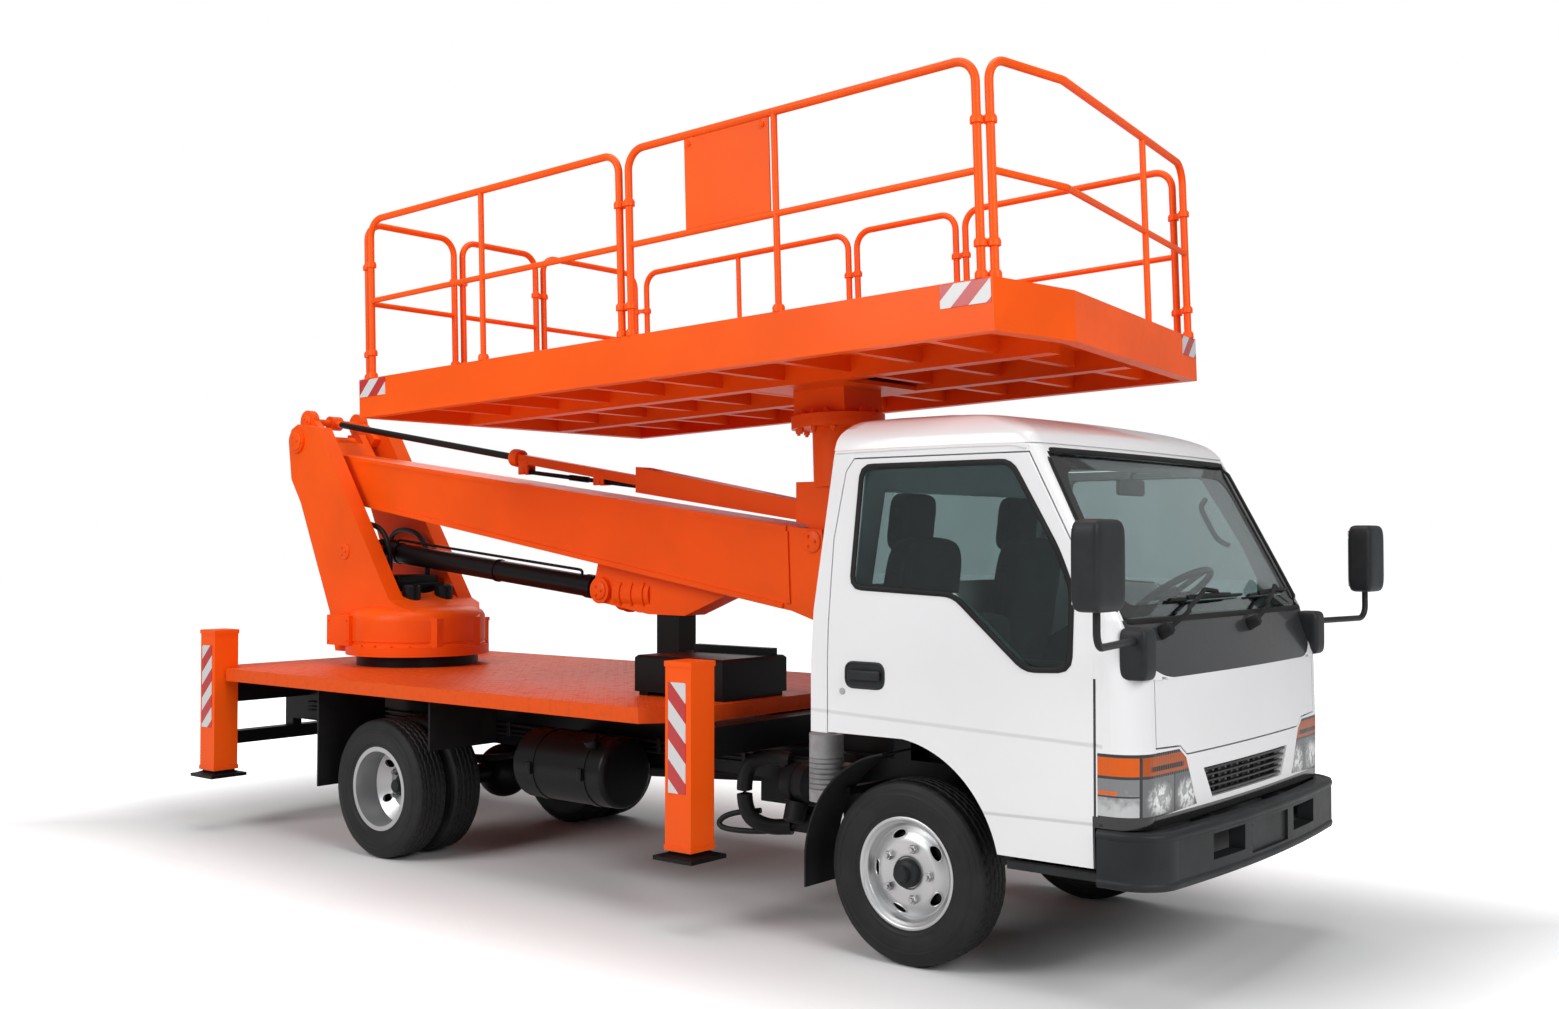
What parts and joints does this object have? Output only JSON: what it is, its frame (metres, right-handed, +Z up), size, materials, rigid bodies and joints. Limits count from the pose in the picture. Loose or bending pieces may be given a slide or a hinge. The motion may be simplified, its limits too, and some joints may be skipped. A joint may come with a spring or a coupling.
{
  "type": "aerial work platform truck",
  "caption": "Cab-over light truck with a slewing boom that carries a railed work platform on a levelling linkage, with outriggers that slide down at the corners of its deck.",
  "frame": {"origin": "on the ground under the middle of the overall length and width", "axes": "+X forward, +Y to the left of the truck, +Z up"},
  "size_m": [6.242, 2.82, 3.4959],
  "materials": {
    "orange_paint": "gloss",
    "deck_paint": "worn satin",
    "white_paint": "gloss",
    "black_paint": "satin",
    "dark_plastic": "matte",
    "cabin_plastic": "matte",
    "seat_cloth": "woven",
    "glass": "clear",
    "lamp": "clear lens",
    "tyre": "matte",
    "rim": "silver",
    "steel": "polished",
    "rubber": "matte"
  },
  "bodies": {
    "chassis": {"frame_rails": "black_paint", "cross_members": "black_paint", "front_axle": "black_paint", "rear_axle": "black_paint", "leaf_springs": "black_paint", "engine_block": "black_paint", "drive_shaft": "black_paint", "fuel_tank": "black_paint", "air_cleaner": "dark_plastic", "mud_flaps": "rubber", "deck": "deck_paint", "subframe": "black_paint", "outrigger_frames": "orange_paint", "boom_rest": "black_paint", "deck_cabinet": "black_paint", "slew_ring": "black_paint", "cab_shell": "white_paint", "cab_floor": "black_paint", "cab_glass": "glass", "cowl_panel": "dark_plastic", "grille": "dark_plastic", "headlamps": "lamp", "bumper": "dark_plastic", "steps": "dark_plastic", "mirrors": "dark_plastic", "seats": "seat_cloth", "dashboard": "cabin_plastic", "steering_wheel": "cabin_plastic"},
    "knuckle_right": {"knuckle_right": "black_paint"},
    "front_wheel_right": {"front_tyre_right": "tyre", "front_rim_right": "rim"},
    "rear_wheels_right": {"rear_tyres_right": "tyre", "rear_rims_right": "rim"},
    "door_right": {"door_right": "white_paint", "door_glass_right": "glass"},
    "outrigger_leg_front_right": {"outrigger_leg_front_right": "black_paint"},
    "outrigger_leg_rear_right": {"outrigger_leg_rear_right": "black_paint"},
    "knuckle_left": {"knuckle_left": "black_paint"},
    "front_wheel_left": {"front_tyre_left": "tyre", "front_rim_left": "rim"},
    "rear_wheels_left": {"rear_tyres_left": "tyre", "rear_rims_left": "rim"},
    "door_left": {"door_left": "white_paint", "door_glass_left": "glass"},
    "outrigger_leg_front_left": {"outrigger_leg_front_left": "black_paint"},
    "outrigger_leg_rear_left": {"outrigger_leg_rear_left": "black_paint"},
    "front_lid": {"front_lid": "white_paint"},
    "turret": {"turret": "orange_paint"},
    "boom": {"boom": "orange_paint", "lift_bracket": "orange_paint"},
    "lift_barrel": {"lift_barrel": "black_paint"},
    "lift_rod": {"lift_rod": "steel"},
    "levelling_link": {"levelling_link": "orange_paint"},
    "platform_bracket": {"platform_bracket": "orange_paint"},
    "platform": {"platform_frame": "orange_paint", "toe_boards": "orange_paint", "rails_right": "orange_paint", "rails_left": "orange_paint", "rails_rear": "orange_paint", "rails_front": "orange_paint"}
  },
  "joints": [
    {"name": "steer_right", "type": "hinge", "parent": "chassis", "child": "knuckle_right", "pos_m": [1.961, -0.6, 0.368], "axis": [0, 0, 1], "range_deg": [-35, 35]},
    {"name": "front_wheel_right_spin", "type": "hinge", "parent": "knuckle_right", "child": "front_wheel_right", "pos_m": [1.961, -0.736, 0.368], "axis": [0, 1, 0], "continuous": true},
    {"name": "rear_wheels_right_spin", "type": "hinge", "parent": "chassis", "child": "rear_wheels_right", "pos_m": [-1.385, -0.67, 0.368], "axis": [0, 1, 0], "continuous": true},
    {"name": "door_right_hinge", "type": "hinge", "parent": "chassis", "child": "door_right", "pos_m": [2.829, -0.9, 1], "axis": [0, 0, 1], "range_deg": [0, 68]},
    {"name": "outrigger_leg_front_right_slide", "type": "slide", "parent": "chassis", "child": "outrigger_leg_front_right", "axis": [0, 0, -1], "range_m": [0, 0.312]},
    {"name": "outrigger_leg_rear_right_slide", "type": "slide", "parent": "chassis", "child": "outrigger_leg_rear_right", "axis": [0, 0, -1], "range_m": [0, 0.312]},
    {"name": "steer_left", "type": "hinge", "parent": "chassis", "child": "knuckle_left", "pos_m": [1.961, 0.6, 0.368], "axis": [0, 0, 1], "range_deg": [-35, 35]},
    {"name": "front_wheel_left_spin", "type": "hinge", "parent": "knuckle_left", "child": "front_wheel_left", "pos_m": [1.961, 0.736, 0.368], "axis": [0, 1, 0], "continuous": true},
    {"name": "rear_wheels_left_spin", "type": "hinge", "parent": "chassis", "child": "rear_wheels_left", "pos_m": [-1.385, 0.67, 0.368], "axis": [0, 1, 0], "continuous": true},
    {"name": "door_left_hinge", "type": "hinge", "parent": "chassis", "child": "door_left", "pos_m": [2.829, 0.9, 1], "axis": [0, 0, -1], "range_deg": [0, 68]},
    {"name": "outrigger_leg_front_left_slide", "type": "slide", "parent": "chassis", "child": "outrigger_leg_front_left", "axis": [0, 0, -1], "range_m": [0, 0.312]},
    {"name": "outrigger_leg_rear_left_slide", "type": "slide", "parent": "chassis", "child": "outrigger_leg_rear_left", "axis": [0, 0, -1], "range_m": [0, 0.312]},
    {"name": "front_lid_hinge", "type": "hinge", "parent": "chassis", "child": "front_lid", "pos_m": [3.029, 0, 1.188], "axis": [0, -1, 0], "range_deg": [0, 60]},
    {"name": "slew", "type": "hinge", "parent": "chassis", "child": "turret", "pos_m": [-2.179, 0, 0.941], "axis": [0, 0, 1], "range_deg": [-180, 180]},
    {"name": "boom_lift", "type": "hinge", "parent": "turret", "child": "boom", "pos_m": [-2.989, 0, 2.31], "axis": [0, -1, 0], "range_deg": [0, 75]},
    {"name": "lift_barrel_pivot", "type": "hinge", "parent": "turret", "child": "lift_barrel", "pos_m": [-2.489, 0, 1.62], "axis": [0, -1, 0], "range_deg": [0, 76.96]},
    {"name": "lift_rod_slide", "type": "slide", "parent": "lift_barrel", "child": "lift_rod", "axis": [0.9948, 0, -0.1015], "range_m": [0, 1.0406]},
    {"name": "levelling_link_pivot", "type": "hinge", "parent": "turret", "child": "levelling_link", "pos_m": [-3.049, 0, 2.44], "axis": [0, -1, 0], "range_deg": [0, 75]},
    {"name": "platform_bracket_pivot", "type": "hinge", "parent": "boom", "child": "platform_bracket", "pos_m": [0.971, 0, 1.68], "axis": [0, -1, 0], "range_deg": [-75, 0]},
    {"name": "platform_swing", "type": "hinge", "parent": "platform_bracket", "child": "platform", "pos_m": [1.016, 0, 2.25], "axis": [-0.0332, 0, 0.9995], "range_deg": [-90, 90]}
  ],
  "couplings": [
    {"joint": "steer_left", "follows": "steer_right", "ratio": 1},
    {"joint": "levelling_link_pivot", "follows": "boom_lift", "ratio": 1},
    {"joint": "platform_bracket_pivot", "follows": "boom_lift", "ratio": -1},
    {"joint": "lift_barrel_pivot", "follows": "boom_lift", "ratio": 1.0194},
    {"joint": "lift_rod_slide", "follows": "boom_lift", "m_per_rad": 0.79113}
  ]
}
